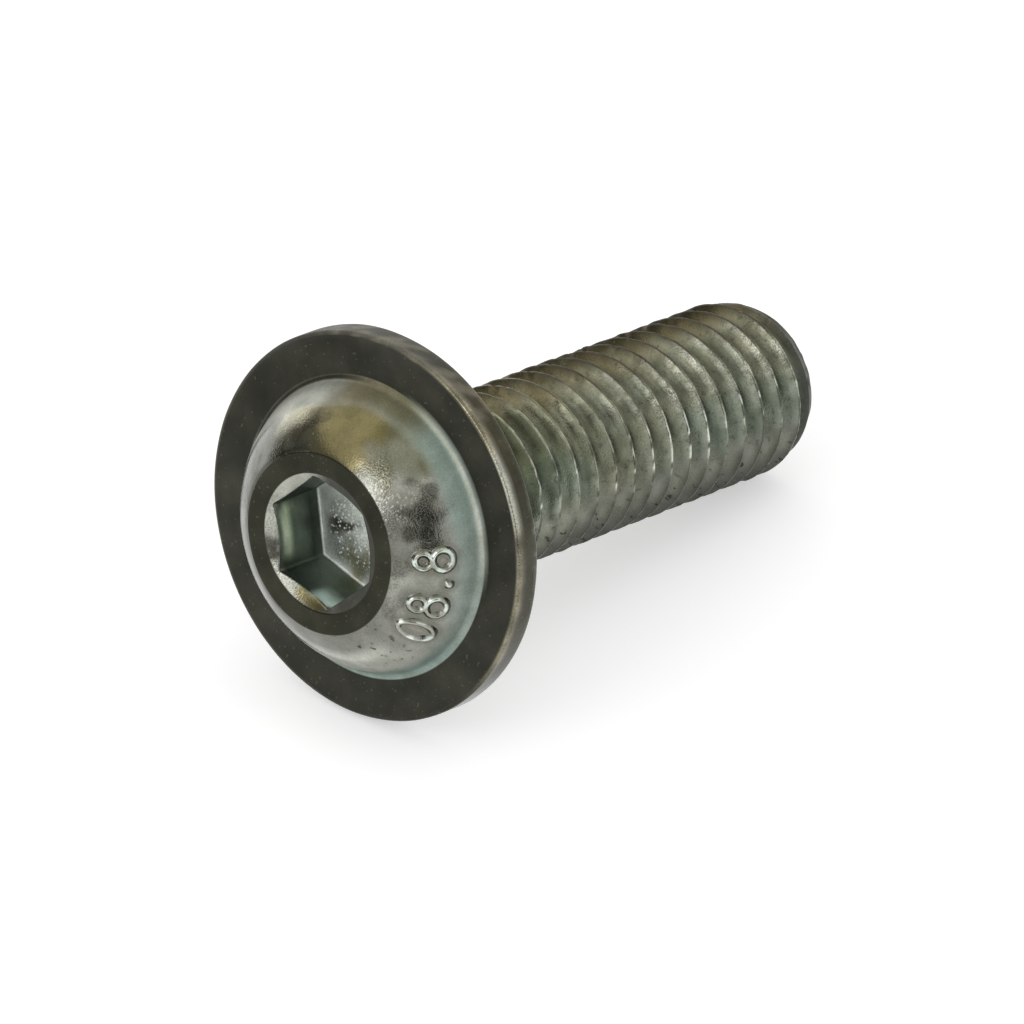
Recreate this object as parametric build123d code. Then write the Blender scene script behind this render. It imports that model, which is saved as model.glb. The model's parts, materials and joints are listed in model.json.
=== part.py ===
from build123d import *
import os
from math import atan2, cos, degrees, radians, tan

# A flanged button head screw, M8 x 25, with a hexagon socket for a 5 mm key.
# It is one forged piece, drawn upright and then laid down on its side. The shank is
# drawn at the diameter over the thread's crests, without the thread's grooves.
# Millimetres and degrees. While it is drawn, its axis is Z, the flange's bearing face
# is at z = 0, the head is above it and the shank below it.

# Head
HEAD_HEIGHT = 4.22          # bearing face to crown
CROWN_DIAMETER = 7.95       # the flat on top, around the socket
DOME_DIAMETER = 12.9        # where the dome's arc meets the flange
DOME_BULGE = 0.38           # how far the arc stands out from its own chord
DOME_FOOT_FILLET = 0.35     # hollow corner between dome and flange

# Flange
FLANGE_DIAMETER = 17.1
FLANGE_THICKNESS = 1.3
FLANGE_TOP_ROUND = 0.16
FLANGE_UNDER_CHAMFER = 0.12

# Hexagon socket
SOCKET_FLATS = 5.03         # across flats
SOCKET_DEPTH = 3.0          # from the crown
SOCKET_MOUTH = 6.14         # diameter of the chamfered mouth on the crown
SOCKET_MOUTH_ANGLE = 60     # of the chamfer, from the axis
THROAT_CLEARANCE = 0.2      # the mouth's cutter ends this far inside the flats

# Shank
LENGTH = 24.7               # bearing face to tip
SHANK_DIAMETER = 7.97       # over the crests of the M8 thread
NECK_DIAMETER = 7.2         # unthreaded stretch under the head
NECK_LENGTH = 1.5
NECK_FILLET = 0.45          # between neck and bearing face
NECK_RISE = 0.7             # length over which the neck swells to the shank
TIP_DIAMETER = 6.8          # flat end face
TIP_LENGTH = 1.6            # rounded lead-in
TIP_BULGE = 0.1             # how far the lead-in stands out from a straight cone
TIP_CHAMFER = 0.12          # between the lead-in and the end face

# As it lies
ROLL = 76.5                 # turn about its own axis, from a socket corner pointing up

shank_radius = SHANK_DIAMETER / 2
neck_radius = NECK_DIAMETER / 2
flange_radius = FLANGE_DIAMETER / 2
shank_top = -(NECK_LENGTH + NECK_RISE)    # height at which the full diameter begins
shank_end = TIP_LENGTH - LENGTH           # height at which it ends


def blank():
    """Head, flange, neck and shank, turned as one profile."""
    crown = (CROWN_DIAMETER / 2, HEAD_HEIGHT)
    dome_foot = (DOME_DIAMETER / 2, FLANGE_THICKNESS)
    flange_top = (flange_radius, FLANGE_THICKNESS)
    flange_under = (flange_radius, 0)
    neck_top = (neck_radius, 0)
    neck_bottom = (neck_radius, -NECK_LENGTH)
    lead_in = (shank_radius, shank_end)
    tip = (TIP_DIAMETER / 2, -LENGTH)
    with BuildPart() as turned:
        with BuildSketch(Plane.XZ) as profile:
            with BuildLine():
                Line((0, HEAD_HEIGHT), crown)
                SagittaArc(crown, dome_foot, DOME_BULGE)
                Polyline(dome_foot, flange_top, flange_under, neck_top, neck_bottom)
                Polyline(neck_bottom, (shank_radius, shank_top), lead_in)
                SagittaArc(lead_in, tip, TIP_BULGE)
                Polyline(tip, (0, -LENGTH), (0, HEAD_HEIGHT))
            make_face()

            def corner(at):
                return profile.vertices().sort_by_distance((*at, 0))[0]

            fillet(corner(dome_foot), DOME_FOOT_FILLET)
            fillet(corner(flange_top), FLANGE_TOP_ROUND)
            fillet(corner(neck_top), NECK_FILLET)
            chamfer(corner(flange_under), FLANGE_UNDER_CHAMFER)
            chamfer(corner(tip), TIP_CHAMFER)
        revolve(axis=Axis.Z)
    return turned.part


def socket():
    """The hexagonal hole and its chamfered mouth."""
    corner_radius = SOCKET_FLATS / 2 / cos(radians(30))
    hexagon = RegularPolygon(corner_radius, 6)
    hole = extrude(Pos(0, 0, HEAD_HEIGHT) * hexagon, -SOCKET_DEPTH)
    mouth_radius = SOCKET_MOUTH / 2
    throat_radius = SOCKET_FLATS / 2 - THROAT_CLEARANCE
    mouth_depth = (mouth_radius - throat_radius) / tan(radians(SOCKET_MOUTH_ANGLE))
    mouth = Pos(0, 0, HEAD_HEIGHT) * Cone(
        throat_radius, mouth_radius, mouth_depth, align=(Align.CENTER, Align.CENTER, Align.MAX)
    )
    return hole + mouth


def laid_down(upright):
    """Turned onto its side, resting on the flange's edge and the end of the shank."""
    lean = degrees(atan2(flange_radius - shank_radius, FLANGE_UNDER_CHAMFER - shank_end))
    lying = Rot(0, lean - 90, 0) * Rot(0, 0, ROLL) * upright
    box = lying.bounding_box()
    return Pos(-box.center().X, 0, -box.min.Z) * lying


os.makedirs("parts", exist_ok=True)
export_step(laid_down(blank() - socket()), "parts/screw.step")
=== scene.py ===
"""A flanged button head screw, M8 x 25, zinc plated, lying on its side."""

import json

import bmesh
import bpy
import numpy as np
from mathutils import Matrix, Vector


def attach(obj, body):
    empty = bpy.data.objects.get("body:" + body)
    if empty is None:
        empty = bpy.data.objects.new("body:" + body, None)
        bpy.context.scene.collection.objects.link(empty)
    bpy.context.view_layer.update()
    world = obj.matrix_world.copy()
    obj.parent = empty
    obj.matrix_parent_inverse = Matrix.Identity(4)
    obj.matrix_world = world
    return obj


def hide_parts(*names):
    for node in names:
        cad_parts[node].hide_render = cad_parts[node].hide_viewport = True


MM = 0.001
PIECE = "screw_body"

# The screw in mm, drawn upright: its axis is Z, the bearing face is at z = 0, the head is
# above it and the shank below. "Turn" is the angle about the axis in degrees. As the screw
# lies, turn 0 is its top, and seen from the head 90 is its left side and -90 its right side.

# Head
HEAD_HEIGHT = 4.22
CROWN_RADIUS = 3.975                # of the flat on top, around the socket
DOME_CENTRE = (1.68074, -0.23353)   # of the dome's arc, as (radius, height)
DOME_ARC = 5.00975                  # radius of the arc
FOOT_FILLET = 0.35                  # hollow corner between dome and flange

# Flange
FLANGE_RADIUS = 8.543               # a hair under the solid's 8.55
FLANGE_THICKNESS = 1.3
FLANGE_ROUND = 0.16                 # of the top edge
FLANGE_CHAMFER = 0.12               # of the lower edge
UNDERSIDE_START = 4.5               # where the rings of the bearing face begin

# Hexagon socket
SOCKET_APOTHEM = 2.515              # half the size across flats
SOCKET_DEPTH = 3.0
SOCKET_TURN = 16.5                  # of one corner
SOCKET_CORNER = 0.15                # rounding of the hexagon's upright edges
FLOOR_HEIGHT = HEAD_HEIGHT - SOCKET_DEPTH
FLOOR_CORNER = 0.09                 # rounding between the walls and the floor
MOUTH_RADIUS = 3.07
MOUTH_SLOPE = 0.577                 # fall of the chamfered mouth, 30 degrees

# Neck and shank
NECK_RADIUS = 3.6
NECK_LENGTH = 1.5
NECK_RISE = 0.7
NECK_FILLET = 0.45
SHANK_RADIUS = 3.982
LENGTH = 24.7
TIP_RADIUS = 3.4
TIP_LENGTH = 1.6
TIP_BULGE = 0.094
TIP_CHAMFER = 0.12

# Thread. "s" is the distance from the bearing face towards the tip.
PITCH = 1.25
THREAD_DEPTH = 0.767
THREAD_TURN = 120.0                 # turn at which a crest passes s = 0
THREAD_START = NECK_LENGTH - 0.2
THREAD_END = LENGTH - TIP_CHAMFER
FLANK_SLOPE = np.sqrt(3)            # of flanks 60 degrees apart
CREST = 0.045                       # half the width of the crest's flat
CREST_ROUND = 0.04                  # how softly crest and flank meet
ROOT_ROUND = 0.25                   # how softly flank and root meet
ENVELOPE_ROUND = 0.06               # how softly the crests meet the neck and the lead-in
RUNOUT_START, RUNOUT_END = 1.8, 3.1     # the groove deepens between these s, under the head
FADE_START, FADE_END = 23.2, 24.6       # and gets less deep between these, at the tip
FADE = 0.45                             # share of the depth that is lost there


def smoothstep(low, high, x):
    """0 at low and 1 at high, smooth between them and level beyond. Low may be the larger one."""
    t = np.clip((x - low) / (high - low), 0, 1)
    return t * t * (3 - 2 * t)


def soft_min(a, b, width):
    """The smaller of two values, with the corner where they meet rounded over a width."""
    h = np.clip(0.5 + 0.5 * (b - a) / width, 0, 1)
    return b + (a - b) * h - width * h * (1 - h)


def soft_max(a, b, width):
    return -soft_min(-a, -b, width)


def ripple(points, size, seed, waves=14):
    """Smooth noise of about -1 to 1 whose bumps are size across."""
    rng = np.random.default_rng(seed)
    total = np.zeros(points.shape[:-1])
    for _ in range(waves):
        direction = rng.normal(size=3)
        direction *= 2 * np.pi / (2 * size) * rng.uniform(0.6, 1.5) / np.linalg.norm(direction)
        total += np.sin(points @ direction + rng.uniform(0, 2 * np.pi))
    return total / np.sqrt(waves)


# ---------------- the mark on the dome

MARK_RADIUS = 5.4          # where a digit's width is measured
MARK_TILT = 48.0           # of the dome's normal from the axis, at the digits' middle
MARK_STROKE = 0.2          # half the width of a ridge
MARK_REACH = 0.6           # how far round a ridge the dome is darkened
MARK_HEIGHT = 0.17
MARK_EXTENT = 1.6          # how far the mark and its darkened surroundings reach up and down the dome
MARK_FROM, MARK_TO = -127.0, -70.0         # the turns with close columns
ZERO_TURN, FIRST_EIGHT_TURN, POINT_TURN, LAST_EIGHT_TURN = -116.0, -101.5, -90.0, -79.0
HALF_WIDTH, HALF_HEIGHT = 0.42, 0.8        # of a digit, to the middle of its stroke
RIDGE_SHAPE = 1.7          # more than 1 hollows the foot of a ridge


def ellipse(height, half_width, half_height):
    """An ellipse at a height above the digits' middle, as (along the turn, up the dome)."""
    t = np.linspace(0, 2 * np.pi, 120, endpoint=False)
    return np.column_stack([half_width * np.cos(t), height + half_height * np.sin(t)])


def mark_strokes():
    """The middle lines of the raised characters 08.8, in mm along the turn and up the dome."""
    def place(shape, turn):
        return shape + [np.radians(turn) * MARK_RADIUS, 0]

    zero = ellipse(0, HALF_WIDTH, HALF_HEIGHT)
    upper_loop = ellipse(0.43, 0.35, 0.36)
    lower_loop = ellipse(-0.40, HALF_WIDTH, 0.43)
    eight = np.vstack([upper_loop, lower_loop])
    point = ellipse(-0.72, 0.03, 0.06)
    return np.vstack([
        place(zero, ZERO_TURN),
        place(eight, FIRST_EIGHT_TURN),
        place(point, POINT_TURN),
        place(eight, LAST_EIGHT_TURN),
    ])


def mark_nearness(turns, tilts):
    """1 on the mark's middle lines, 0 beyond MARK_REACH, for these turns and tilts of the dome."""
    strokes = mark_strokes()
    x = np.radians(turns) * MARK_RADIUS
    y = np.radians(MARK_TILT - tilts) * DOME_ARC
    near = np.zeros((len(tilts), len(turns)))
    for ring in np.flatnonzero(np.abs(y) < MARK_EXTENT):
        gap = np.hypot(x[:, None] - strokes[:, 0], y[ring] - strokes[:, 1]).min(axis=1)
        near[ring] = np.clip(1 - gap / MARK_REACH, 0, 1)
    return near


def mark_ridge(near):
    """Height of the mark's rounded ridges, 0 to 1."""
    gap = (1 - near) * MARK_REACH
    return np.clip(1 - (gap / MARK_STROKE) ** 2, 0, 1) ** RIDGE_SHAPE


# ---------------- the head

COLUMN_STEP = 2.0                   # degrees between the head's columns
MARK_COLUMNS = 155
CORNER_COLUMNS = [0.5, 1, 1.5, 2.2, 3]   # degrees from a corner of the socket
CLOSEST_COLUMNS = 0.2
DENSE_LOW, DENSE_HIGH, DENSE_STEP = 61.2, 36, 0.4   # tilts of the close rings at the mark


def head_columns():
    """The turns of the head's columns: close together at the mark and at the socket's corners."""
    turns = [np.arange(-180, 180, COLUMN_STEP)]
    turns.append(np.linspace(MARK_FROM, MARK_TO, MARK_COLUMNS))
    aside = np.array(CORNER_COLUMNS)
    for corner in range(6):
        turns.append(SOCKET_TURN + 60 * corner + np.concatenate([-aside, [0], aside]))
    turns = np.sort((np.concatenate(turns) + 180) % 360 - 180)
    keep = np.diff(turns, prepend=-200) > CLOSEST_COLUMNS
    corners = np.abs((turns - SOCKET_TURN + 30) % 60 - 30) < 1e-6
    crowded = np.roll(corners, -1) & (np.roll(turns, -1) - turns < CLOSEST_COLUMNS)
    return turns[(keep | corners) & ~crowded]


def hexagon(turns):
    """The socket's radius at each turn, with its corners rounded."""
    from_flat = np.radians((turns - SOCKET_TURN) % 60 - 30)
    from_corner = np.abs(np.radians((turns - SOCKET_TURN + 30) % 60 - 30))
    radius = SOCKET_APOTHEM / np.cos(from_flat)
    centre = (SOCKET_APOTHEM - SOCKET_CORNER) / np.cos(np.radians(30))
    across = np.clip(SOCKET_CORNER**2 - (centre * np.sin(from_corner)) ** 2, 0, None)
    rounded = centre * np.cos(from_corner) + np.sqrt(across)
    touch = np.arctan2(SOCKET_CORNER * 0.5, centre + SOCKET_CORNER * np.cos(np.radians(30)))
    return np.where(from_corner < touch, rounded, radius)


class Rings:
    """Rings of points round the head, from the bearing face outwards, up and into the socket.

    A ring is 1 in "pressed" where the head is flat and smooth, and its nearness to the mark
    goes from 0 to 1. Edges that would be sharp are softened by rings close to them.
    """

    def __init__(self, turns):
        self.turns = turns
        self.rows = []

    def ring(self, radius, height, pressed=0.0, near=0.0):
        ones = np.ones(len(self.turns))
        self.rows.append((radius * ones, height * ones, pressed * ones, near * ones))

    def path(self, radii, heights, pressed=0.0):
        for radius, height in zip(radii, heights):
            self.ring(radius, height, pressed)


def flange_rings(rings):
    """The bearing face, the flange's side and its rounded top edge."""
    chamfer = FLANGE_RADIUS - FLANGE_CHAMFER
    rings.path(np.linspace(UNDERSIDE_START, chamfer - 0.05, 10), np.zeros(10))
    rings.ring(chamfer - 0.01, 0.004)
    rings.ring(chamfer + 0.03, 0.03)
    rings.ring(FLANGE_RADIUS - 0.03, FLANGE_CHAMFER - 0.03)
    rings.ring(FLANGE_RADIUS - 0.004, FLANGE_CHAMFER + 0.01)
    top = FLANGE_THICKNESS - FLANGE_ROUND
    rings.path(np.full(6, FLANGE_RADIUS), np.linspace(FLANGE_CHAMFER + 0.06, top, 6))
    bend = np.radians(np.arange(15, 91, 15))
    radii = FLANGE_RADIUS - FLANGE_ROUND + FLANGE_ROUND * np.cos(bend)
    rings.path(radii, top + FLANGE_ROUND * np.sin(bend), 0.5)


def dome_rings(rings):
    """The flange's flat, the hollow corner at the dome's foot, and the dome with its mark."""
    foot_height = FLANGE_THICKNESS + FOOT_FILLET
    reach = DOME_ARC + FOOT_FILLET
    foot_radius = DOME_CENTRE[0] + np.sqrt(reach**2 - (foot_height - DOME_CENTRE[1]) ** 2)
    flat = np.linspace(FLANGE_RADIUS - FLANGE_ROUND - 0.06, foot_radius, 9)
    rings.path(flat, np.full(9, FLANGE_THICKNESS), 1.0)
    foot_tilt = np.degrees(np.arctan2(foot_radius - DOME_CENTRE[0], foot_height - DOME_CENTRE[1]))
    bend = np.radians(np.linspace(0, foot_tilt, 8)[1:-1])
    rings.path(foot_radius - FOOT_FILLET * np.sin(bend), foot_height - FOOT_FILLET * np.cos(bend))

    crown_tilt = np.degrees(np.arcsin((CROWN_RADIUS - DOME_CENTRE[0]) / DOME_ARC))
    tilts = np.concatenate([
        np.linspace(foot_tilt, DENSE_LOW + 0.8, 5),
        np.arange(DENSE_LOW, DENSE_HIGH, -DENSE_STEP),
        np.linspace(DENSE_HIGH - 1, crown_tilt + 0.6, 6),
    ])
    for tilt, near in zip(np.radians(tilts), mark_nearness(rings.turns, tilts)):
        reach = DOME_ARC + MARK_HEIGHT * mark_ridge(near)
        radius = DOME_CENTRE[0] + reach * np.sin(tilt)
        rings.ring(radius, DOME_CENTRE[1] + reach * np.cos(tilt), 0, near)


def crown_rings(rings):
    """The flat on top."""
    rings.ring(CROWN_RADIUS, HEAD_HEIGHT - 0.008, 1.0)
    flat = np.linspace(CROWN_RADIUS - 0.05, MOUTH_RADIUS + 0.05, 6)
    rings.path(flat, np.full(6, HEAD_HEIGHT), 1.0)
    rings.ring(MOUTH_RADIUS + 0.004, HEAD_HEIGHT - 0.006, 1.0)


def socket_rings(rings):
    """The chamfered mouth, the six walls and the floor."""
    mouth = MOUTH_RADIUS - 0.04
    rings.ring(mouth, HEAD_HEIGHT - 0.027)
    wall = hexagon(rings.turns)
    for part in (0.33, 0.67, 1.0):
        radius = mouth + (wall + 0.05 - mouth) * part
        rings.ring(radius, HEAD_HEIGHT - (MOUTH_RADIUS - radius) * MOUTH_SLOPE)
    brink = HEAD_HEIGHT - (MOUTH_RADIUS - wall) * MOUTH_SLOPE
    rings.ring(wall + 0.009, brink - 0.004)
    wall_top = brink - 0.05
    wall_foot = FLOOR_HEIGHT + FLOOR_CORNER
    for part in np.linspace(0, 1, 9) ** 1.5:
        rings.ring(wall, wall_top + (wall_foot - wall_top) * part)
    for bend in np.radians([30, 60, 90]):
        inward = FLOOR_CORNER * (1 - np.cos(bend))
        rings.ring(wall - inward, FLOOR_HEIGHT + FLOOR_CORNER * (1 - np.sin(bend)))
    for part in (0.92, 0.8, 0.68, 0.56, 0.44, 0.32, 0.2, 0.1, 0.04):
        rings.ring((wall - FLOOR_CORNER) * part, FLOOR_HEIGHT)


def head_rings(turns):
    """Radius, height, flatness and nearness to the mark of every ring of the head."""
    rings = Rings(turns)
    flange_rings(rings)
    dome_rings(rings)
    crown_rings(rings)
    socket_rings(rings)
    return [np.array(part) for part in zip(*rings.rows)]


# ---------------- the shank

SHANK_COLUMNS = 160
STATIONS = np.array([0, 0.03, 0.055, 0.09, 0.25, 0.42, 0.53])   # rows at these mm from a crest


def envelope(s):
    """Radius over the crests at a distance s from the bearing face."""
    rise = smoothstep(NECK_LENGTH, NECK_LENGTH + NECK_RISE, s)
    radius = NECK_RADIUS + (SHANK_RADIUS - NECK_RADIUS) * rise
    t = np.clip((s - LENGTH + TIP_LENGTH) / TIP_LENGTH, 0, 1)
    return radius - (SHANK_RADIUS - TIP_RADIUS) * t + 4 * TIP_BULGE * t * (1 - t)


def groove(from_crest):
    """Depth below the crests at a distance along the axis from a crest's middle."""
    flank = (np.abs(from_crest) - CREST) * FLANK_SLOPE
    return soft_min(soft_max(flank, 0, CREST_ROUND), THREAD_DEPTH, ROOT_ROUND)


def thread():
    """The threaded stretch on a grid that follows the helix.

    Returns the columns' turns, s, radius and depth in the groove of each point, and the
    number of rows in a pitch.
    """
    turns = np.arange(SHANK_COLUMNS) * 360 / SHANK_COLUMNS - 180
    pitch = np.concatenate([STATIONS, [PITCH / 2], PITCH - STATIONS[:0:-1]])
    first = int(np.floor(THREAD_START / PITCH)) - 2
    last = int(np.ceil(THREAD_END / PITCH)) + 2
    along = np.concatenate([number * PITCH + pitch for number in range(first, last)])
    shift = PITCH * (THREAD_TURN - turns) / 360
    s = np.clip(along[:, None] + shift, THREAD_START, THREAD_END)
    from_crest = (s - shift + PITCH / 2) % PITCH - PITCH / 2
    depth = groove(from_crest) * smoothstep(RUNOUT_START, RUNOUT_END, s)
    depth = depth * (1 - FADE * smoothstep(FADE_START, FADE_END, s))
    outer = envelope(s)
    radius = np.minimum(soft_min(outer, SHANK_RADIUS - depth, ENVELOPE_ROUND), outer)
    return turns, s, radius, np.clip(depth / THREAD_DEPTH, 0, 1), len(pitch)


# ---------------- one closed mesh

def upright(radii, heights, turns):
    """Points in upright mm from arrays of radius and height whose last axis is the turn."""
    angle = np.radians(turns)
    return np.stack([radii * np.cos(angle), radii * np.sin(angle), heights + 0 * radii], axis=-1)


def grid_faces(first, rows, columns):
    """Quads of a grid of rings."""
    faces = []
    for row in range(rows - 1):
        for column in range(columns):
            a = first + row * columns + column
            b = first + row * columns + (column + 1) % columns
            faces.append((a, b, b + columns, a + columns))
    return faces


def helix_faces(first, rows, columns, climb):
    """Quads of a grid whose rows climb by a number of rows in each turn."""
    faces = []
    for row in range(rows - 1):
        for column in range(columns):
            lift = climb if column + 1 == columns else 0
            low, high = np.clip([row + lift, row + 1 + lift], 0, rows - 1)
            after = (column + 1) % columns
            faces.append((
                first + row * columns + column,
                first + (row + 1) * columns + column,
                first + int(high) * columns + after,
                first + int(low) * columns + after,
            ))
    return faces


def fan(first, columns, centre, flip):
    """Triangles from a ring to its middle point."""
    faces = []
    for column in range(columns):
        a = first + column
        b = first + (column + 1) % columns
        faces.append((b, a, centre) if flip else (a, b, centre))
    return faces


def zip_rings(inner, inner_turns, outer, outer_turns):
    """Triangles between two flat rings with different turns."""
    inner_ends = np.append(inner_turns[1:], inner_turns[0] + 360)
    outer_ends = np.append(outer_turns[1:], outer_turns[0] + 360)
    faces = []
    i = o = 0
    while i < len(inner_ends) or o < len(outer_ends):
        a = inner + i % len(inner_ends)
        b = outer + o % len(outer_ends)
        if o == len(outer_ends) or (i < len(inner_ends) and inner_ends[i] <= outer_ends[o]):
            i += 1
            faces.append((a, inner + i % len(inner_ends), b))
        else:
            o += 1
            faces.append((a, outer + o % len(outer_ends), b))
    return faces


class Surface:
    """The screw's points in upright mm, its faces, and what each point is."""

    def __init__(self):
        self.points = []
        self.faces = []
        self.traits = {"pressed": [], "mark": [], "groove": []}

    def add(self, points, **traits):
        """Adds an array of points with their traits, and returns the first one's number."""
        first = sum(len(part) for part in self.points)
        self.points.append(points.reshape(-1, 3))
        for name, kept in self.traits.items():
            kept.append((traits.get(name, 0) + np.zeros(points.shape[:-1])).ravel())
        return first


def add_head(surface):
    turns = head_columns()
    radii, heights, pressed, near = head_rings(turns)
    first = surface.add(upright(radii, heights, turns), pressed=pressed, mark=near)
    surface.faces += grid_faces(first, len(radii), len(turns))
    middle = surface.add(np.array([[0, 0, FLOOR_HEIGHT]]))
    surface.faces += fan(first + (len(radii) - 1) * len(turns), len(turns), middle, False)
    return first, turns


def add_shank(surface):
    turns, s, radius, depth, per_pitch = thread()
    first = surface.add(upright(radius, -s, turns), groove=depth)
    surface.faces += helix_faces(first, len(s), SHANK_COLUMNS, -per_pitch)
    return turns, radius[-1]


def add_neck(surface, turns):
    """The plain stretch under the head and its fillet."""
    bend = np.radians(np.arange(0, 91, 18))
    s = np.concatenate([[THREAD_START, 1.0, 0.7], NECK_FILLET * (1 - np.sin(bend))])
    fillet = NECK_RADIUS + NECK_FILLET * (1 - np.cos(bend))
    radius = np.concatenate([np.full(3, NECK_RADIUS), fillet])
    around = np.ones(SHANK_COLUMNS)
    first = surface.add(upright(radius[:, None] * around, -s[:, None], turns))
    surface.faces += grid_faces(first, len(s), SHANK_COLUMNS)
    return first + (len(s) - 1) * SHANK_COLUMNS


def add_tip(surface, turns, edge):
    """The chamfer at the thread's end, whose last radii are edge, and the flat end face."""
    radii = [edge, edge - 0.03, edge - 0.09, edge - 0.15]
    radii += [np.full(SHANK_COLUMNS, radius) for radius in (2.6, 2.0, 1.4, 0.8, 0.3)]
    s = np.full(len(radii), LENGTH)
    s[:3] = THREAD_END, THREAD_END + 0.06, LENGTH - 0.012
    first = surface.add(upright(np.array(radii), -s[:, None], turns))
    surface.faces += [face[::-1] for face in grid_faces(first, len(s), SHANK_COLUMNS)]
    middle = surface.add(np.array([[0, 0, -LENGTH]]))
    surface.faces += fan(first + (len(s) - 1) * SHANK_COLUMNS, SHANK_COLUMNS, middle, True)


def screw_surface():
    surface = Surface()
    head, head_turns = add_head(surface)
    turns, edge = add_shank(surface)
    seam = add_neck(surface, turns)
    add_tip(surface, turns, edge)
    surface.faces += zip_rings(seam, turns, head, head_turns)
    return surface


# ---------------- irregularities, tints and painted light and shade

FORGING_WAVES = 0.007               # mm, half the height of the slow waves of every face
PRESSED_CALM = 0.8                  # share of these waves that the pressed flats don't have
CREST_WEAR = 0.012
NICK_DEPTH = 0.07

STEEL = np.array([0.25, 0.252, 0.222])
OLIVE = np.array([0.039, 0.039, 0.028])
GOLD = np.array([0.25, 0.212, 0.10])
TEAL = np.array([0.17, 0.24, 0.22])
# Dark brown for painted dark reflection on the dome, painted shade in the socket's mouth, and darker places
# at the mark and on the socket's floor.
DARK_BROWN = np.array([0.05, 0.045, 0.035])
BROWN = np.array([0.091, 0.088, 0.067])
UMBER = np.array([0.115, 0.092, 0.045])
EDGE_HIGHLIGHT = np.array([0.42, 0.38, 0.28])
GLARE = np.array([0.80, 0.89, 0.84])
WHITE = np.array([1.0, 1.0, 1.0])
THREAD = np.array([0.235, 0.24, 0.175])
THREAD_GREY = np.array([0.19, 0.19, 0.17])
THREAD_UNDER = np.array([0.118, 0.118, 0.105])
STRAW = np.array([0.40, 0.395, 0.33])
# Socket colours: the walls' darkness is painted shade, the glow and the streaks are painted light and
# painted reflections, and the floor's paleness is painted light.
SOCKET_WALL = np.array([0.10, 0.128, 0.105])
WALL_GLOW = np.array([0.30, 0.37, 0.28])
WALL_REFLECTION = np.array([0.84, 0.98, 0.70])
LOW_WALL_REFLECTION = np.array([0.70, 0.88, 0.83])
SOCKET_FLOOR = np.array([0.86, 0.90, 0.85])

DARK_STREAK_TURN = 110                    # the way the dark streak on the socket's floor runs

# How bright the thread is at these shares of its depth, where it is lit and elsewhere.
DEPTH_SHARES = [0.0, 0.1, 0.45, 0.75, 1.0]
LIT_THREAD = [1.4, 1.25, 1.3, 1.1, 0.5]
UNLIT_THREAD = [0.65, 0.7, 1.35, 1.4, 0.8]


def on_side(radius, turn, height):
    """A point in upright mm."""
    angle = np.radians(turn)
    return np.array([radius * np.cos(angle), radius * np.sin(angle), height])


def on_dome(radius, turn):
    """A point of the dome in upright mm."""
    height = DOME_CENTRE[1] + np.sqrt(DOME_ARC**2 - (radius - DOME_CENTRE[0]) ** 2)
    return on_side(radius, turn, height)


def wear(points, traits):
    """How far each point is pushed in, in mm: forging waves, dents and ragged crests."""
    calm = 1 - PRESSED_CALM * traits["pressed"]
    inward = FORGING_WAVES * (1 + ripple(points, 1.6, 11)) * calm
    head = points[:, 2] > -0.5
    crest = np.where(head, 0, 1 - smoothstep(0.0, 0.25, traits["groove"]))
    nicks = smoothstep(0.7, 1.9, ripple(points, 0.22, 12))
    inward += crest * (CREST_WEAR * (1 + ripple(points, 0.4, 13)) + NICK_DEPTH * nicks)
    return np.clip(inward, 0, None)


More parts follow.
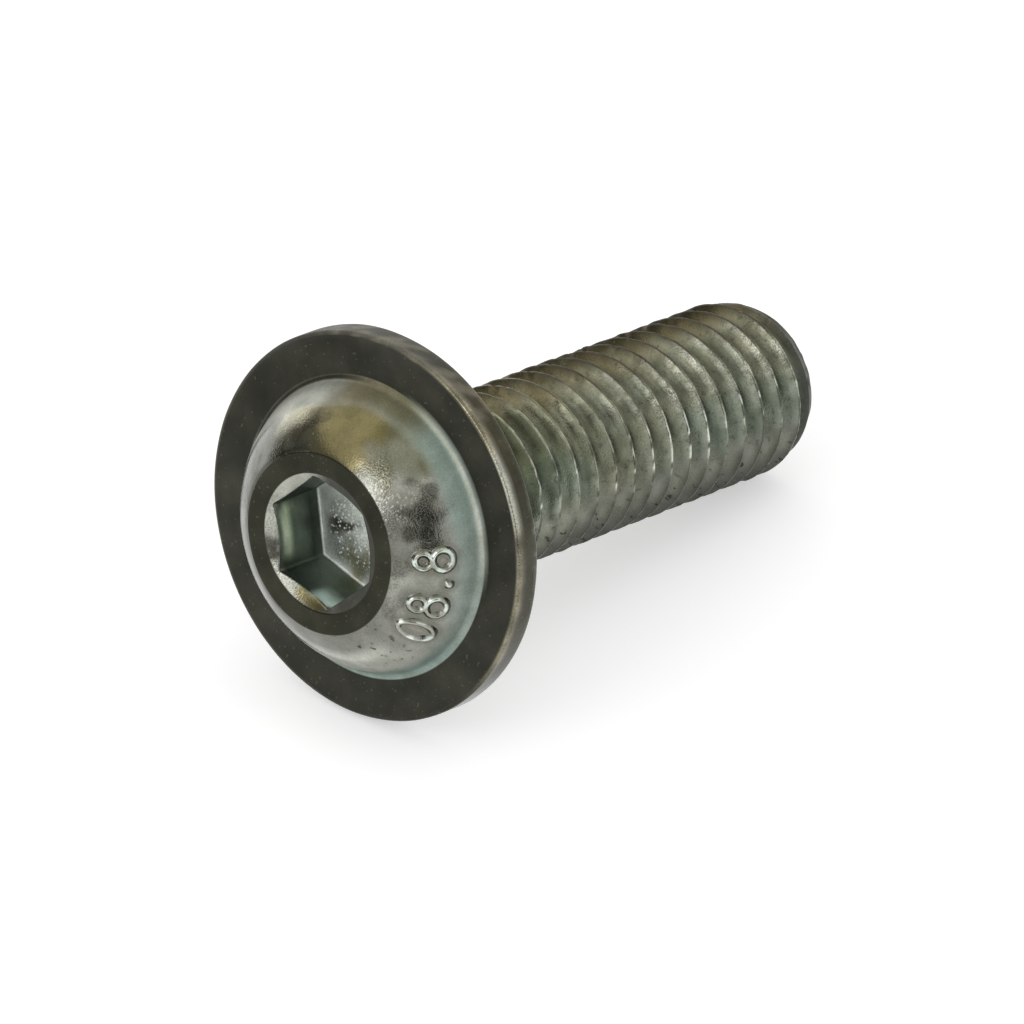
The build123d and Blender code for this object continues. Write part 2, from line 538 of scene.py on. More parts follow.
class Finish:
    """What the plating is like at each point of the screw, with painted light and shade laid into its tint.

    Each area lays its tints over those before it, each with a share of 0 to 1 that says
    where. Along with the tint it sets how grainy, rough, metallic, pitted and sparkling the
    plating is. Radii and heights are in mm and turns in degrees, all on the upright screw.
    """

    def __init__(self, points, traits):
        self.points = points
        self.radius = np.hypot(points[:, 0], points[:, 1])
        self.height = points[:, 2]
        self.turn = np.degrees(np.arctan2(points[:, 1], points[:, 0]))
        self.pressed = traits["pressed"]
        self.near_mark = traits["mark"]
        self.depth = traits["groove"]

        self.tint = np.tile(STEEL, (len(points), 1))
        self.grain = np.full(len(points), 0.35)
        self.rough = np.full(len(points), 0.18)
        self.metal = np.ones(len(points))
        self.pits = np.zeros(len(points))
        self.sparks = np.zeros(len(points))

        # Areas: the dome, the socket, the socket below its chamfered mouth, the shank, the
        # side of the shank that is lit, and the thread's crests.
        self.dome = smoothstep(1.35, 1.6, self.height) * smoothstep(3.95, 4.05, self.radius)
        self.inside = smoothstep(3.06, 3.03, self.radius) * smoothstep(0.5, 1.0, self.height)
        below_mouth = smoothstep(3.98, 3.85, self.height) * smoothstep(2.98, 2.95, self.radius)
        self.below_mouth = self.inside * below_mouth
        self.shank = smoothstep(0.3, -0.3, self.height)
        self.lit = self.shank * smoothstep(-105, -85, self.turn) * smoothstep(5, -15, self.turn)
        self.crest = self.shank * smoothstep(0.12, 0.03, self.depth)

        self.lay_dome()
        self.lay_dome_spots()
        self.lay_dome_foot()
        self.lay_mark()
        self.lay_flange()
        self.lay_flats()
        self.lay_socket_mouth()
        self.lay_socket_walls()
        self.lay_socket_floor()
        self.lay_shank()
        self.shade_thread()
        self.lay_crests()
        self.lay_tip()

    def attributes(self):
        return {
            "tint": self.tint,
            "grain": self.grain,
            "rough": self.rough,
            "metal": np.clip(self.metal, 0, 1),
            "pits": np.clip(0.8 * self.pits, 0, 1),
            "sparks": self.sparks,
        }

    def side(self, toward, low, high):
        """1 on the side at this turn, fading to 0 as the cosine from it falls from high to low."""
        return smoothstep(low, high, np.cos(np.radians(self.turn - toward)))

    def ripple(self, size, seed):
        return ripple(self.points, size, seed)

    def patch(self, centre, size, ragged, seed):
        """1 at the middle of a patch and 0 outside it, with an uneven edge."""
        away = np.linalg.norm(self.points - centre, axis=1) / size
        away = away + ragged * self.ripple(size * 0.6, seed)
        return 1 - smoothstep(0.45, 1.25, away)

    def blend(self, tint, share):
        share = np.clip(share, 0, 1)[:, None]
        self.tint = self.tint * (1 - share) + tint * share

    def dark_rough_spot(self, radius, turn, size, darkness, coarse):
        """A spot of the dome that is roughened and darkened as painted dark reflection, each by its own
        share.
        """
        spot = self.dome * self.patch(on_dome(radius, turn), size, 0.5, 22)
        self.blend(DARK_BROWN, darkness * spot)
        self.grain = np.maximum(self.grain, coarse * spot)

    def lay_dome(self):
        """A golden top, and a right side lightened as painted highlight."""
        dome, radius = self.dome, self.radius
        self.blend(GOLD * 0.95, 0.55 * dome * self.side(-5, 0.5, 0.95) * smoothstep(4.1, 5.0, radius))
        self.blend(GOLD, 0.95 * dome * self.patch(on_dome(5.0, -1), 1.8, 0.2, 21))
        # Painted highlights on the right side of the dome.
        self.blend(STEEL * 1.5, 0.8 * dome * self.patch(on_dome(5.4, -32), 1.3, 0.4, 35))
        self.blend(STEEL * 1.25, 0.8 * dome * self.side(-95, 0.5, 0.9) * smoothstep(4.3, 4.8, radius))

    def lay_dome_spots(self):
        """Roughened spots darkened as painted dark reflection, pits below them, and painted highlights,
        painted dark reflections and painted glints beside the crown.
        """
        # Around the crown, first at its left, then at its right; the darkening is painted dark reflection.
        self.dark_rough_spot(4.2, 24, size=0.7, darkness=0.3, coarse=0.8)
        self.dark_rough_spot(4.2, 45, size=0.6, darkness=0.5, coarse=0.8)
        self.dark_rough_spot(4.3, 68, size=0.6, darkness=0.4, coarse=0.8)
        self.dark_rough_spot(4.3, 92, size=0.5, darkness=0.3, coarse=0.8)
        self.dark_rough_spot(4.9, 25, size=0.6, darkness=0.5, coarse=0.6)
        self.dark_rough_spot(5.4, 14, size=0.6, darkness=0.35, coarse=0.6)
        self.dark_rough_spot(4.8, 90, size=0.5, darkness=0.3, coarse=0.6)
        self.dark_rough_spot(4.4, -30, size=1.3, darkness=0.0, coarse=1.0)
        self.dark_rough_spot(4.3, -60, size=1.0, darkness=0.3, coarse=1.0)
        self.dark_rough_spot(4.2, -85, size=0.8, darkness=0.2, coarse=1.0)
        self.dark_rough_spot(4.2, -108, size=0.8, darkness=0.2, coarse=0.9)
        # The dark patch above the mark, a painted dark reflection.
        self.dark_rough_spot(5.5, -54, size=0.9, darkness=0.6, coarse=1.0)
        self.dark_rough_spot(5.2, -66, size=0.7, darkness=0.6, coarse=1.0)

        dome, radius = self.dome, self.radius
        self.pits += dome * self.patch(on_dome(4.9, -140), 1.6, 0.3, 28)
        # Painted highlights and painted dark reflections beside the crown, then painted glints.
        self.blend(STEEL * 1.6, 0.8 * dome * self.patch(on_dome(4.1, -98), 0.7, 0.4, 33))
        self.blend(STEEL * 0.75, 0.8 * dome * smoothstep(5.2, 4.8, radius) * self.side(115, 0.3, 0.8))
        self.blend(OLIVE * 1.4, 0.9 * dome * smoothstep(4.3, 4.12, radius) * self.side(95, 0.2, 0.6))
        self.blend(STEEL * 2.6, 0.9 * dome * smoothstep(4.7, 5.3, radius) * self.side(-166, 0.8, 0.96))
        self.sparks = 0.18 * dome * self.patch(on_dome(4.3, -45), 1.7, 0.3, 39)

    def lay_dome_foot(self):
        """Pale, greenish at the right and below, golden on top, dark at the upper left: the paleness is
        painted light and the dark is painted dark reflection.
        """
        starts = 5.8 - 0.3 * self.side(50, 0.6, 0.9) - 0.5 * self.side(-165, 0.6, 0.9)
        above_flat = smoothstep(1.29, 1.31, self.height)
        foot = smoothstep(0.0, 0.4, self.radius - starts) * above_flat
        fillet = smoothstep(6.40, 6.50, self.radius) * above_flat
        outer = smoothstep(6.0, 6.4, self.radius)
        hidden = fillet * self.side(45, 0.7, 0.92)
        # The paleness at the foot and its brighter bands are painted light.
        self.blend(STEEL * 1.7, foot)
        self.blend(STEEL * 2.2, 0.8 * foot * self.side(-166, 0.8, 0.97))
        self.blend(TEAL * 1.8, 0.65 * foot * self.side(-36, 0.75, 0.95))
        self.blend(TEAL * 1.6, 0.8 * foot * self.side(-150, 0.6, 0.95) * outer)
        self.blend(TEAL * 1.5, 0.5 * foot * self.side(-84, 0.85, 0.97))
        self.blend(GOLD * 0.8, 0.85 * foot * self.side(-4, 0.88, 0.99))
        self.blend(STEEL * 2.4, 0.8 * fillet * self.side(-52, 0.75, 0.95))
        self.blend(OLIVE * 1.3, hidden)
        self.rough += 0.35 * foot
        self.metal -= 0.45 * foot * (1 - hidden)

    def lay_mark(self):
        """Ridges lightened as painted highlight, with uneven painted glare, and darker plating around them.
        """
        ridge = mark_ridge(self.near_mark)
        glare = smoothstep(0.35, 0.8, ridge) * smoothstep(-0.1, 0.5, self.ripple(0.3, 42))
        self.blend(DARK_BROWN * 2.4, 0.4 * smoothstep(0.15, 0.6, self.near_mark))
        # Painted highlights on the ridges, and painted glare on them.
        self.blend(STEEL * 1.9, 0.85 * smoothstep(0.4, 1.0, ridge))
        self.blend(GLARE, 0.9 * glare)
        self.rough -= 0.06 * ridge

    def lay_flange(self):
        """A brown side whose tone changes round the screw as painted light and shade, a front edge with a
        patchy painted highlight, a dull top darkened as painted shade with painted highlights towards its
        right, and a bearing face lightened as painted light.
        """
        height, turn = self.height, self.turn
        rim = smoothstep(8.3, 8.36, self.radius) * smoothstep(-0.1, 0.1, height)
        self.blend(BROWN * 0.85, rim)
        # Tone that changes round the side: painted light and shade.
        self.blend(UMBER * 1.3, 0.5 * rim * self.side(-15, 0.6, 0.9))
        self.blend(BROWN * 0.45, 0.8 * rim * self.side(-150, 0.7, 0.9))
        self.blend(BROWN * 0.4, 0.6 * rim * self.side(-38, 0.8, 0.93))

        # The front edge: a patchy painted highlight, brightest at the right.
        front_edge = rim * smoothstep(0.85, 1.15, height) * self.side(-50, 0.1, 0.6)
        front_edge *= smoothstep(8.38, 8.46, self.radius)
        patchy_highlight = np.clip(0.7 + 0.4 * self.ripple(0.5, 29), 0, 1)
        patchy_highlight = patchy_highlight * (1 - 0.25 * smoothstep(-66, -74, turn))
        brightest = smoothstep(-42, -52, turn) * smoothstep(-74, -66, turn)
        self.blend(EDGE_HIGHLIGHT, front_edge * patchy_highlight)
        self.blend(STEEL * 2.6, 0.7 * front_edge * brightest)
        # The bearing face is lightened as painted light, so that its reflection in the thread is brighter.
        self.blend(STEEL * 2, smoothstep(0.05, 0.0, height) * smoothstep(-0.05, 0.0, height))
        self.grain = np.maximum(self.grain, 0.9 * front_edge)

        # The top is made dull and darkened as painted shade; the lighter patches towards the right are
        # painted highlights.
        top = rim * self.side(20, 0.6, 0.95)
        rim_highlight = rim * self.side(-8, 0.75, 0.95) * smoothstep(-0.2, 0.7, self.ripple(0.5, 43))
        self.blend(BROWN * 0.5, 0.7 * top)
        self.blend(EDGE_HIGHLIGHT * 0.55, 0.6 * rim_highlight)
        self.rough += 0.4 * top
        self.metal -= 0.8 * top

    def lay_flats(self):
        """The smooth flats of the flange and the crown, darkened as painted dark reflection, but for a
        painted bright ring at the right where the flange's flat meets the dome's foot.
        """
        radius = self.radius
        flat = np.clip(2 * self.pressed - 1, 0, 1)
        # A painted bright ring, left undarkened.
        bright_ring = smoothstep(6.8, 6.72, radius) * smoothstep(6.6, 6.68, radius)
        flat *= 1 - bright_ring * self.side(-52, 0.7, 0.9)
        mottled = 1 + 0.15 * self.ripple(1.2, 34) - 0.13 * smoothstep(6.2, 6.6, radius)
        self.blend(OLIVE * mottled[:, None], flat)
        self.grain = self.grain * (1 - 0.9 * flat)

    def lay_socket_mouth(self):
        """The chamfer: painted highlights at the left, golden below, painted shade at the right."""
        inside, height = self.inside, self.height
        chamfer = inside * smoothstep(3.75, 3.85, height)
        shaded = chamfer * self.side(-75, 0.0, 0.3)
        self.blend(STEEL * 1.1, inside)
        # Painted highlights at the left and at the chamfer's top.
        self.blend(STEEL * 1.8, inside * self.side(62, 0.5, 0.9))
        self.grain = np.maximum(self.grain, 0.9 * inside * self.side(115, 0.3, 0.8))
        self.blend(GOLD, 0.9 * inside * self.patch(on_side(2.8, 176, 4.0), 1.3, 0.35, 25))
        self.blend(STEEL * 1.3, 0.9 * chamfer * smoothstep(4.08, 4.17, height) * self.side(138, 0.7, 0.95))
        # A dark patch at the left, painted shade.
        self.blend(DARK_BROWN, 0.8 * chamfer * self.patch(on_side(2.9, 113, 4.0), 0.5, 0.6, 36))
        self.blend(OLIVE * 1.5, shaded)
        self.metal -= 0.9 * shaded
        self.rough += 0.4 * shaded

    def lay_socket_walls(self):
        """Dark green walls, darkened as painted shade: the left one glows with painted light and has a
        streak of painted reflection, the lower one has a painted reflection at its top.
        """
        wall, height, turn = self.below_mouth, self.height, self.turn
        glow = wall * smoothstep(1.6, 2.8, height) * self.side(106, 0.86, 0.97)
        # Streaks of painted reflection on the left wall and at the top of the lower wall.
        wall_reflection = wall * smoothstep(2.95, 3.25, height) * smoothstep(3.72, 3.5, height)
        wall_reflection *= smoothstep(75, 84, turn) * smoothstep(134, 122, turn)
        wall_reflection *= 0.6 + 0.4 * smoothstep(122, 96, turn + 8 * self.ripple(0.5, 30))
        low_wall_reflection = wall * smoothstep(2.7, 3.7, height) * self.side(188, 0.94, 0.995)
        self.blend(SOCKET_WALL, wall)
        self.blend(WALL_GLOW, 0.55 * glow)
        self.blend(WALL_REFLECTION, wall_reflection)
        self.blend(LOW_WALL_REFLECTION, low_wall_reflection)
        # Painted shade low on the left wall.
        self.blend(SOCKET_WALL * 0.4, 0.8 * wall * smoothstep(2.3, 1.8, height) * self.side(106, 0.8, 0.95))
        self.metal -= 0.45 * glow + np.maximum(wall_reflection, 0.75 * low_wall_reflection)

    def lay_socket_floor(self):
        """A rough floor, pale as painted light, with a dark streak, a golden patch, painted sparkles and
        painted bright edges.
        """
        floor = self.below_mouth * smoothstep(FLOOR_HEIGHT + 0.1, FLOOR_HEIGHT + 0.03, self.height)
        along = np.radians(DARK_STREAK_TURN)
        outward = self.points[:, :2] @ np.array([np.cos(along), np.sin(along)])
        across = np.abs(self.points[:, :2] @ np.array([-np.sin(along), np.cos(along)]))
        half_width = 0.3 + 0.25 * smoothstep(0.9, 1.5, outward)
        dark_streak = floor * smoothstep(2.2, 1.8, outward) * smoothstep(0.0, 0.5, outward)
        dark_streak *= smoothstep(half_width, 0.3 * half_width, across + 0.1 * self.ripple(0.35, 26))
        golden = floor * self.patch(on_side(1.9, 180, FLOOR_HEIGHT), 0.9, 0.4, 27)
        # Painted sparkles, and painted bright edges where the floor meets the walls.
        sparkling = floor * self.patch(on_side(1.1, 140, FLOOR_HEIGHT), 1.5, 0.3, 31)
        glint = floor * smoothstep(FLOOR_HEIGHT + 0.005, FLOOR_HEIGHT + 0.02, self.height)
        glint *= 0.3 + 0.7 * self.side(160, 0.6, 0.9)
        self.blend(SOCKET_FLOOR, floor)
        self.blend(DARK_BROWN * 1.5, 0.9 * dark_streak)
        self.blend(GOLD * 1.4, 0.7 * golden)
        self.blend(WHITE, glint)
        self.grain = self.grain * (1 - 0.7 * self.below_mouth) + 0.6 * sparkling
        self.metal -= 0.6 * glint
        self.rough += 0.2 * self.below_mouth + 0.2 * floor * (1 - sparkling)
        self.sparks = np.maximum(self.sparks, sparkling)

    def lay_shank(self):
        """Green-grey with teal places, grey below, pale straw painted highlights towards the tip, and a
        brown top darkened as painted dark reflection.
        """
        shank, lit, height, turn = self.shank, self.lit, self.height, self.turn
        ends = smoothstep(1, 5, np.abs(height + 12))
        self.blend(THREAD, shank)
        self.blend(TEAL, 0.16 * shank * smoothstep(0.1, 1.1, self.ripple(1.7, 24)))
        self.blend(TEAL, 0.3 * lit * smoothstep(-45, -62, turn) * ends)
        self.blend(THREAD_GREY, 0.6 * shank * smoothstep(-82, -98, turn))

        # Pale straw on the lit flanks towards the tip: painted highlights, with grain.
        straw = lit * smoothstep(-75, -45, turn) * smoothstep(-9, -15, height)
        straw *= smoothstep(0.44, 0.3, self.depth + 0.05 * self.ripple(0.15, 41))
        self.blend(STRAW, straw * np.clip(0.6 + 0.6 * self.ripple(0.25, 37), 0, 1))
        self.grain = np.maximum(self.grain, 1.2 * straw)

        # The top is darkened brown, the more towards the tip: painted dark reflection.
        uneven_turn = turn + 10 * self.ripple(1.0, 40)
        top = shank * smoothstep(-32, 14, uneven_turn) * smoothstep(110, 60, turn)
        top_of_tip = top * smoothstep(-14, -18, height) * smoothstep(12, 24, turn)
        self.blend(UMBER, 0.85 * top)
        self.blend(UMBER * 0.4, 0.6 * top_of_tip)
        # Pits all over the shank, more underneath, where they also darken it as painted shade.
        self.pits += shank * (0.35 + 0.65 * smoothstep(-95, -120, turn))
        self.rough += 0.08 * shank

    def shade_thread(self):
        """Painted light and shade over the depth of the thread, and the underside darkened as painted
        shade.
        """
        shank, lit, height, turn, depth = self.shank, self.lit, self.height, self.turn, self.depth
        # Painted shade on the middle of the lit flanks.
        darkened_flank = smoothstep(-52, -40, turn) * smoothstep(-4, -14, turn)
        darkened_flank += 0.7 * smoothstep(-68, -78, turn) * smoothstep(-110, -98, turn)
        darkened_flank *= smoothstep(0.24, 0.4, depth + 0.05 * self.ripple(0.15, 41))
        darkened_flank *= smoothstep(0.85, 0.65, depth)
        where_lit = np.interp(depth, DEPTH_SHARES, LIT_THREAD) * (1 - 0.55 * darkened_flank)
        elsewhere = np.interp(depth, DEPTH_SHARES, UNLIT_THREAD)
        # Painted shade in the roots by the head, and painted light on the thread by the head.
        roots_by_head = lit * smoothstep(-9, -5, height) * smoothstep(0.45, 0.7, depth)
        roots_by_head *= smoothstep(-95, -75, turn)
        brightness = 1 + shank * (lit * where_lit + (1 - lit) * elsewhere - 1)
        brightness *= 1 + 0.4 * shank * smoothstep(-11, -6, height)
        brightness *= 1 - 0.12 * shank * smoothstep(-60, -75, turn)
        brightness *= 1 - 0.4 * roots_by_head
        self.tint = self.tint * brightness[:, None]

        # The underside and its crests darkened as painted shade.
        under = shank * smoothstep(-105, -130, turn)
        self.blend(THREAD_UNDER, 0.8 * under)
        self.blend(THREAD * 0.2, 0.8 * under * self.crest)

    def lay_crests(self):
        """Crests: darkened in places as painted shade, with painted highlights at the right, and on top
        towards the tip darkened as painted dark reflection and roughened.
        """
        crest, height, turn = self.crest, self.height, self.turn
        # Crests darkened in broken patches as painted shade, and painted highlights on them at the right.
        darkened = 0.8 - 0.4 * self.lit * smoothstep(-60, -45, turn)
        crest_highlight = smoothstep(26, 8, np.abs(turn + 74)) * smoothstep(0.1, 0.5, self.ripple(0.35, 32))
        # On top towards the tip the crests are darkened as painted dark reflection and roughened.
        dark_crest_top = crest * smoothstep(-8, -13, height)
        dark_crest_top *= smoothstep(-40, -20, turn) * smoothstep(110, 60, turn)
        self.blend(THREAD * 0.3, darkened * crest * smoothstep(-0.6, 0.2, self.ripple(0.35, 38)))
        self.blend(STEEL * 3, 0.9 * crest * crest_highlight)
        self.blend(UMBER * 0.5, 0.9 * dark_crest_top)
        self.metal -= 0.5 * crest * (1 - self.lit)
        self.rough += 0.45 * dark_crest_top
        self.dark_crest_top = dark_crest_top

    def lay_tip(self):
        """A brown lead-in, an olive chamfer darkened as painted dark reflection, and a plain end face."""
        lead_in = self.shank * smoothstep(-23.6, -24.1, self.height)
        end_face = self.shank * smoothstep(-24.6, -24.66, self.height)
        # The chamfer at the end is darkened as painted dark reflection.
        end_edge = self.shank * smoothstep(-24.5, -24.57, self.height) * (1 - end_face)
        self.blend(UMBER * 0.5, 0.85 * lead_in)
        self.blend(TEAL * 0.5, 0.4 * lead_in * self.side(-75, 0.5, 0.9))
        self.blend(THREAD * 0.7, end_face)
        self.blend(OLIVE, 0.8 * end_edge)
        self.metal -= 0.6 * lead_in * (1 - end_face)
        self.metal = np.minimum(self.metal, 1 - np.maximum(self.dark_crest_top, end_edge))
        self.rough += 0.25 * lead_in + 0.3 * end_edge


# ---------------- the screw, as it lies

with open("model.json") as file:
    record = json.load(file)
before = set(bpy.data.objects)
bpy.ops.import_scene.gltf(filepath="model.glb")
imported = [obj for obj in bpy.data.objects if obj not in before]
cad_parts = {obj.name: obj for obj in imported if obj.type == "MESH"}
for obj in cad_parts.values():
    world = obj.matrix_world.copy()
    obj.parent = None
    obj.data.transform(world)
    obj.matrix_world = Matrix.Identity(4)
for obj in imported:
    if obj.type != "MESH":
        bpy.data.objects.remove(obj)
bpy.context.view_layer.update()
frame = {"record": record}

mounts = {mount["name"]: mount for mount in frame["record"]["mounts"]}
toward_head = Vector(mounts["hex_socket"]["axis"])
seat = Vector(mounts["hex_socket"]["pos_m"]) - HEAD_HEIGHT * MM * toward_head
sideways = Vector((0, 1, 0))
upward = sideways.cross(toward_head)
to_row = Matrix((upward, sideways, toward_head)).transposed().to_4x4()
to_row.translation = seat

SEWING_DISTANCE = 0.0005            # mm, closer points become one
SHARP_ANGLE = 50


def read(items, name, width=1):
    """A value of each item, or width values of each, as an array."""
    values = np.empty(len(items) * width)
    items.foreach_get(name, values)
    return values.reshape(-1, width) if width > 1 else values


def write_attribute(mesh, name, values):
    if values.ndim == 2:
        rgba = np.column_stack([values, np.ones(len(values))])
        mesh.attributes.new(name, "FLOAT_COLOR", "POINT").data.foreach_set("color", rgba.ravel())
    else:
        mesh.attributes.new(name, "FLOAT", "POINT").data.foreach_set("value", values)


def sewn_mesh(surface):
    """The surface as one closed mesh, and the traits of its vertices."""
    mesh = bpy.data.meshes.new(PIECE)
    mesh.from_pydata(np.vstack(surface.points).tolist(), [], surface.faces)
    for name, values in surface.traits.items():
        write_attribute(mesh, name, np.concatenate(values))
    bm = bmesh.new()
    bm.from_mesh(mesh)
    bmesh.ops.remove_doubles(bm, verts=bm.verts, dist=SEWING_DISTANCE)
    bm.to_mesh(mesh)
    bm.free()
    traits = {}
    for name in surface.traits:
        traits[name] = read(mesh.attributes[name].data, "value")
        mesh.attributes.remove(mesh.attributes[name])
    return mesh, traits


def build_screw():
    mesh, traits = sewn_mesh(screw_surface())
    points = read(mesh.vertices, "co", 3)
    normals = read(mesh.vertices, "normal", 3)
    for name, values in Finish(points, traits).attributes().items():
        write_attribute(mesh, name, values)
    points = points - normals * wear(points, traits)[:, None]
    mesh.vertices.foreach_set("co", points.ravel())
    mesh.polygons.foreach_set("use_smooth", np.ones(len(mesh.polygons), dtype=bool))
    mesh.transform(to_row @ Matrix.Scale(MM, 4))
    mesh.set_sharp_from_angle(angle=np.radians(SHARP_ANGLE))
    mesh.update()
    screw = bpy.data.objects.new(PIECE, mesh)
    bpy.context.collection.objects.link(screw)
    return screw


# ---------------- materials

CLOUDED = (0.78, 0.80, 0.77, 1)
DUSTY = (0.45, 0.45, 0.43, 1)
SPECK = (0.30, 0.30, 0.26, 1)
PIT = (0.025, 0.025, 0.02, 1)
SPARK = (1.0, 1.0, 1.0, 1)
PAPER_DARK = (0.80, 0.80, 0.80, 1)
PAPER_LIGHT = (0.84, 0.84, 0.84, 1)
FLOOR_GLOW = 0.45


class Nodes:
    """A small helper that adds nodes to a tree and links them by name."""

    def __init__(self, owner):
        owner.use_nodes = True
        self.tree = owner.node_tree
        self.tree.nodes.clear()

    def add(self, kind, inputs=None, **settings):
        node = self.tree.nodes.new(kind)
        for name, value in settings.items():
            setattr(node, name, value)
        for name, value in (inputs or {}).items():
            self.feed(node.inputs[name], value)
        return node

    def feed(self, socket, value):
        """Links an output to this input, or sets the input's value."""
        if isinstance(value, bpy.types.NodeSocket):
            self.tree.links.new(value, socket)
        else:
            socket.default_value = value

    def attribute(self, name, output="Fac"):
        return self.add("ShaderNodeAttribute", attribute_name=name).outputs[output]

    def math(self, operation, a, b, clamp=False):
        node = self.add("ShaderNodeMath", {0: a, 1: b}, operation=operation, use_clamp=clamp)
        return node.outputs[0]

    def noise(self, where, size_mm, detail=2.0, rough=0.5):
        node = self.add("ShaderNodeTexNoise", {
            "Vector": where,
            "Scale": 1 / (size_mm * MM),
            "Detail": detail,
            "Roughness": rough,
        })
        return node.outputs["Fac"]

    def ramp(self, value, low, high, to_low=0.0, to_high=1.0):
        node = self.add("ShaderNodeMapRange", {
            "Value": value,
            "From Min": low,
            "From Max": high,
            "To Min": to_low,
            "To Max": to_high,
        }, interpolation_type="SMOOTHSTEP")
        return node.outputs["Result"]

    def mix(self, share, a, b, blend="MIX"):
        """Two colours mixed. The node has several inputs called A and B, so it is fed by number."""
        node = self.add("ShaderNodeMix", data_type="RGBA", blend_type=blend)
        for index, value in ((0, share), (6, a), (7, b)):
            self.feed(node.inputs[index], value)
        return node.outputs[2]

    def bump(self, height, distance_mm, **normal):
        inputs = {"Height": height, "Strength": 1.0, "Distance": distance_mm * MM, **normal}
        return self.add("ShaderNodeBump", inputs).outputs[0]


def zinc():
    """Zinc plating: uneven colour, fine grain on the forged faces, smooth pressed faces, pits."""
    material = bpy.data.materials.new("zinc_plated_steel")
    n = Nodes(material)
    where = n.add("ShaderNodeTexCoord").outputs["Object"]
    coarse = n.attribute("grain")

    cloud = n.noise(where, size_mm=1.2, detail=3, rough=0.6)
    grain = n.noise(where, size_mm=0.08, detail=1)
    specks = n.ramp(n.noise(where, size_mm=0.15, detail=0), 0.74, 0.80)
    pits = n.ramp(n.noise(where, size_mm=0.3, detail=1), 0.66, 0.72)
    dusty = n.math("MULTIPLY", n.ramp(grain, 0.42, 0.62), n.math("MULTIPLY", coarse, 0.6))
    colour = n.mix(n.ramp(cloud, 0.35, 0.65), n.attribute("tint", "Color"), CLOUDED, "MULTIPLY")
    colour = n.mix(dusty, colour, DUSTY, "MULTIPLY")
    colour = n.mix(n.math("MULTIPLY", specks, 0.12), colour, SPECK)
    colour = n.mix(n.math("MULTIPLY", pits, n.attribute("pits")), colour, PIT)

    # Painted glints: white, less metallic dots where the sparks attribute asks for them.
    cells = n.add("ShaderNodeTexVoronoi", {"Vector": where, "Scale": 1 / (0.17 * MM)})
    dots = n.ramp(cells.outputs["Distance"], 0.24, 0.36, 1.0, 0.0)
    dots = n.math("MULTIPLY", dots, n.ramp(n.noise(where, size_mm=0.3, detail=0), 0.3, 0.42))
    sparks = n.math("MULTIPLY", dots, n.attribute("sparks"))
    colour = n.mix(sparks, colour, SPARK)
    metal = n.math("SUBTRACT", n.attribute("metal"), n.math("MULTIPLY", sparks, 0.8), clamp=True)

    height = n.math("ADD", n.math("MULTIPLY", grain, coarse), n.math("MULTIPLY", specks, 0.2))
    fine = n.bump(height, 0.014)
    waves = n.bump(n.math("MULTIPLY", n.noise(where, size_mm=0.5), coarse), 0.012, Normal=fine)
    surface = n.add("ShaderNodeBsdfPrincipled", {
        "Base Color": colour,
        "Metallic": metal,
        "Roughness": n.math("ADD", n.attribute("rough"), n.ramp(cloud, 0.3, 0.7, -0.03, 0.04)),
        "Normal": waves,
    })
    n.add("ShaderNodeOutputMaterial", {"Surface": surface.outputs[0]})
    return material


def seen(n):
    """1 for what the camera sees directly, in a reflection or through glass."""
    path = n.add("ShaderNodeLightPath")
    total = n.math("ADD", path.outputs["Is Camera Ray"], path.outputs["Is Glossy Ray"], clamp=True)
    return n.math("ADD", total, path.outputs["Is Transmission Ray"], clamp=True)


def floor_material():
    """A pale floor that shows as white where no shadow falls."""
    material = bpy.data.materials.new("pale_floor")
    n = Nodes(material)
    where = n.add("ShaderNodeTexCoord").outputs["Object"]
    paper = n.mix(n.noise(where, size_mm=60), PAPER_DARK, PAPER_LIGHT)
    lit = n.add("ShaderNodeBsdfDiffuse", {"Color": paper})
    strength = n.math("MULTIPLY", seen(n), FLOOR_GLOW)
    glow = n.add("ShaderNodeEmission", {"Color": (1, 1, 1, 1), "Strength": strength})
    both = n.add("ShaderNodeAddShader", {0: lit.outputs[0], 1: glow.outputs[0]})
    n.add("ShaderNodeOutputMaterial", {"Surface": both.outputs[0]})
    return material


def card_material(level):
    """A card that shows at this level, a little warm."""
    material = bpy.data.materials.new("dark_card")
    n = Nodes(material)
    glow = n.add("ShaderNodeEmission", {"Color": (level, level, level * 0.85, 1), "Strength": 1.0})
    n.add("ShaderNodeOutputMaterial", {"Surface": glow.outputs[0]})
    return material


# ---------------- the studio

def sheet(name, corners, material):
    """A flat sheet that belongs to the studio."""
    mesh = bpy.data.meshes.new(name)
    mesh.from_pydata(corners, [], [range(len(corners))])
    thing = bpy.data.objects.new(name, mesh)
    thing.data.materials.append(material)
    bpy.context.collection.objects.link(thing)
    return thing


def only_in_reflections(thing):
    thing.visible_camera = False
    thing.visible_diffuse = False
    thing.visible_transmission = False
    thing.visible_shadow = False


def bearing(azimuth, elevation):
    """The direction at an azimuth from +X towards +Y and a height above the floor, in degrees."""
    a, e = np.radians([azimuth, elevation])
    return Vector((np.cos(a) * np.cos(e), np.sin(a) * np.cos(e), np.sin(e)))


def standing_card(name, azimuth, distance, width, low, high, level):
    """A dark card that stands beside the screw and shows only in its reflections."""
    out = bearing(azimuth, 0)
    aside = Vector((-out.y, out.x, 0))
    foot = seat.copy()
    foot.z = 0
    corners = [
        foot + out * distance + aside * (side * width / 2) + Vector((0, 0, height))
        for side, height in ((-1, low), (1, low), (1, high), (-1, high))
    ]
    only_in_reflections(sheet(name, corners, card_material(level)))


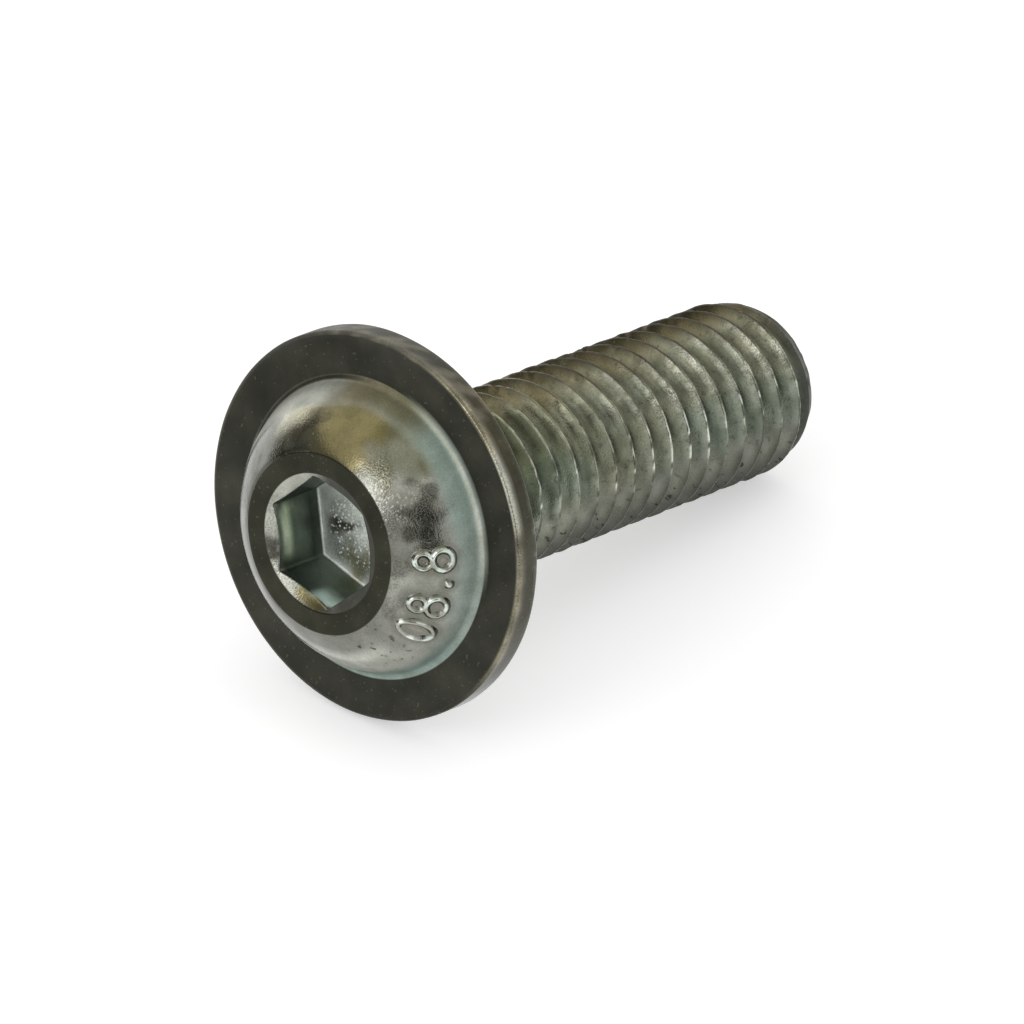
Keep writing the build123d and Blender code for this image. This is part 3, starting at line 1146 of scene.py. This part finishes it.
def lamp(name, azimuth, elevation, distance, size, radiance):
    """A soft lamp aimed at the screw. Radiance 1 shows as white in a mirror."""
    data = bpy.data.lights.new(name, "AREA")
    data.shape = "RECTANGLE"
    data.size, data.size_y = size
    data.energy = radiance * np.pi * size[0] * size[1]
    thing = bpy.data.objects.new(name, data)
    direction = bearing(azimuth, elevation)
    thing.location = seat + direction * distance
    thing.rotation_mode = "QUATERNION"
    thing.rotation_quaternion = direction.to_track_quat("Z", "Y")
    bpy.context.collection.objects.link(thing)


def build_studio():
    """Floor, cards and lamps round the screw, and a white surrounding. Lengths in metres."""
    floor = [(-1.5, -1.5, 0), (1.5, -1.5, 0), (1.5, 1.5, 0), (-1.5, 1.5, 0)]
    sheet("floor", floor, floor_material())

    standing_card(
        "card_behind", azimuth=125, distance=0.15, width=0.165, low=0.012, high=0.11, level=0.25
    )
    standing_card(
        "card_by_camera", azimuth=-127, distance=0.35, width=0.13, low=0.03, high=0.28, level=0.08
    )
    ceiling = [(-0.3, -0.3, 0.45), (-0.3, 0.12, 0.45), (0.4, 0.12, 0.45), (0.4, -0.3, 0.45)]
    only_in_reflections(sheet("card_above", ceiling, card_material(0.65)))

    lamp("key", azimuth=66, elevation=11, distance=0.5, size=(0.44, 0.17), radiance=1.9)
    lamp("fill", azimuth=175, elevation=33, distance=0.5, size=(0.24, 0.24), radiance=2.0)
    lamp("top", azimuth=-60, elevation=75, distance=0.6, size=(0.30, 0.30), radiance=0.6)

    world = bpy.data.worlds.new("studio")
    bpy.context.scene.world = world
    n = Nodes(world)
    strength = n.ramp(seen(n), 0, 1, 0.7, 1.0)
    light = n.add("ShaderNodeBackground", {"Color": (1, 1, 1, 1), "Strength": strength})
    n.add("ShaderNodeOutputWorld", {"Surface": light.outputs[0]})


# ---------------- the camera

VIEW_RIGHT = Vector((0.6561403, -0.75463892, 0.0))
VIEW_UP = Vector((0.41247865, 0.35864021, 0.83739988))
VIEW_FORWARD = Vector((0.63193454, 0.54945181, -0.54659074))
ASIDE, ABOVE, AWAY = 5.40617, 0.307, 499.5988      # mm from the head's seat, in the view's axes


def build_camera():
    """The photograph's view: from the head's side, above and to the left."""
    data = bpy.data.cameras.new("camera")
    data.lens = 415.0
    data.sensor_width = 36.0
    data.clip_start, data.clip_end = 0.01, 10
    camera = bpy.data.objects.new("camera", data)
    turn = Matrix((VIEW_RIGHT, VIEW_UP, -VIEW_FORWARD)).transposed()
    place = seat + (ASIDE * VIEW_RIGHT + ABOVE * VIEW_UP - AWAY * VIEW_FORWARD) * MM
    camera.matrix_world = Matrix.Translation(place) @ turn.to_4x4()
    bpy.context.collection.objects.link(camera)
    bpy.context.scene.camera = camera


screw = build_screw()
screw.data.materials.append(zinc())
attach(screw, "root")
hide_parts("screw")

build_studio()
build_camera()
bpy.context.scene.view_settings.view_transform = "Standard"
